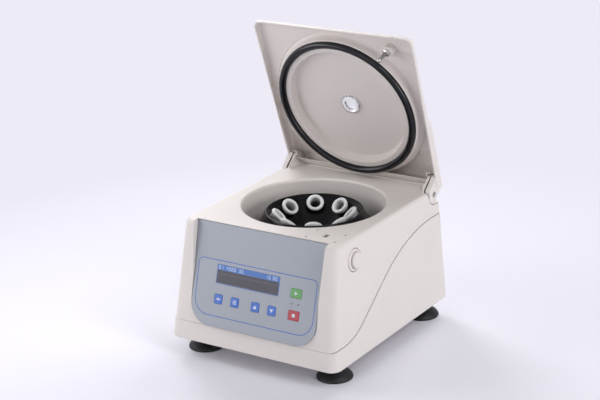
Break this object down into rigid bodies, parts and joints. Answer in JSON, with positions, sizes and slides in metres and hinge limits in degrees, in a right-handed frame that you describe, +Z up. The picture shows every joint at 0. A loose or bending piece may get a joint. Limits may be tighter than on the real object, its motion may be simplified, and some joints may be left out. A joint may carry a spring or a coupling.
{
  "type": "platelet-rich plasma centrifuge",
  "caption": "Bench centrifuge with a moulded two-part housing, sloped control panel, open hinged lid with gasket, and a fixed-angle rotor with tube sleeves.",
  "frame": {"origin": "on the floor, under the middle of the overall box with the lid open; the rotor axis is 9.6 mm behind it, at x = 0", "axes": "+X to the right seen from the front, +Y to the rear, +Z up"},
  "size_m": [0.2964, 0.3516, 0.4655],
  "materials": {
    "shell": "fine satin, warm white",
    "panel": "smooth printed film, blue-grey",
    "rubber": "semi-matt black",
    "rotor": "gloss black",
    "sleeve": "satin white",
    "chrome": "bright",
    "steel": "plain",
    "clear": "clear",
    "display": "gloss dark",
    "key_blue": "satin",
    "key_green": "satin",
    "key_red": "satin",
    "board": "solder mask",
    "black_plastic": "satin black"
  },
  "bodies": {
    "housing": {"top_cover": "shell", "base_shell": "shell", "foot_1": "rubber", "foot_2": "rubber", "foot_3": "rubber", "foot_4": "rubber", "latch_screw_1": "steel", "latch_screw_2": "steel", "latch_screw_3": "steel", "latch_screw_4": "steel", "hinge_pin_left": "steel", "hinge_pin_right": "steel", "control_panel": "panel", "display_window": "display", "lamp_run": "clear", "lamp_stop": "clear", "chamber_bowl": "shell", "guard_ring": "steel", "base_plate": "steel", "motor_shelf": "steel", "motor": "steel", "motor_damper_1": "rubber", "motor_damper_2": "rubber", "motor_damper_3": "rubber", "control_board": "board", "power_board": "board", "power_inlet": "black_plastic", "switch_frame": "black_plastic", "button_bezel": "shell"},
    "lid": {"lid_shell": "shell", "lid_liner": "shell", "lid_gasket": "rubber", "latch_striker": "chrome", "lid_window": "clear"},
    "rotor": {"rotor_body": "rotor", "tube_sleeve_1": "sleeve", "tube_sleeve_2": "sleeve", "tube_sleeve_3": "sleeve", "tube_sleeve_4": "sleeve", "tube_sleeve_5": "sleeve", "tube_sleeve_6": "sleeve", "tube_sleeve_7": "sleeve", "tube_sleeve_8": "sleeve", "rotor_nut": "chrome", "drive_shaft": "steel"},
    "button": {"release_button": "shell", "latch_catch": "steel"},
    "rocker": {"switch_rocker": "black_plastic"},
    "key_left": {"key_left": "key_blue"},
    "key_menu": {"key_menu": "key_blue"},
    "key_up": {"key_up": "key_blue"},
    "key_down": {"key_down": "key_blue"},
    "key_start": {"key_start": "key_green"},
    "key_stop": {"key_stop": "key_red"}
  },
  "joints": [
    {"name": "lid_hinge", "type": "hinge", "parent": "housing", "child": "lid", "pos_m": [0, 0.1412, 0.20175], "axis": [1, 0, 0], "range_deg": [0, 71.6]},
    {"name": "rotor_spin", "type": "hinge", "parent": "housing", "child": "rotor", "pos_m": [0, 0.0096, 0.15], "axis": [0, 0, 1], "continuous": true},
    {"name": "release_button", "type": "slide", "parent": "housing", "child": "button", "axis": [-0.9981, 0, -0.0622], "range_m": [0, 0.0045], "stiffness_N_per_m": 600, "springref_m": -0.003},
    {"name": "power_switch", "type": "hinge", "parent": "housing", "child": "rocker", "pos_m": [-0.043, 0.1588, 0.075], "axis": [1, 0, 0], "range_deg": [0, 12]},
    {"name": "key_left_press", "type": "slide", "parent": "housing", "child": "key_left", "axis": [0, 0.9589, -0.2838], "range_m": [0, 0.0005], "stiffness_N_per_m": 800, "springref_m": -0.0008},
    {"name": "key_menu_press", "type": "slide", "parent": "housing", "child": "key_menu", "axis": [0, 0.9589, -0.2838], "range_m": [0, 0.0005], "stiffness_N_per_m": 800, "springref_m": -0.0008},
    {"name": "key_up_press", "type": "slide", "parent": "housing", "child": "key_up", "axis": [0, 0.9589, -0.2838], "range_m": [0, 0.0005], "stiffness_N_per_m": 800, "springref_m": -0.0008},
    {"name": "key_down_press", "type": "slide", "parent": "housing", "child": "key_down", "axis": [0, 0.9589, -0.2838], "range_m": [0, 0.0005], "stiffness_N_per_m": 800, "springref_m": -0.0008},
    {"name": "key_start_press", "type": "slide", "parent": "housing", "child": "key_start", "axis": [0, 0.9589, -0.2838], "range_m": [0, 0.0005], "stiffness_N_per_m": 800, "springref_m": -0.0008},
    {"name": "key_stop_press", "type": "slide", "parent": "housing", "child": "key_stop", "axis": [0, 0.9589, -0.2838], "range_m": [0, 0.0005], "stiffness_N_per_m": 800, "springref_m": -0.0008}
  ]
}
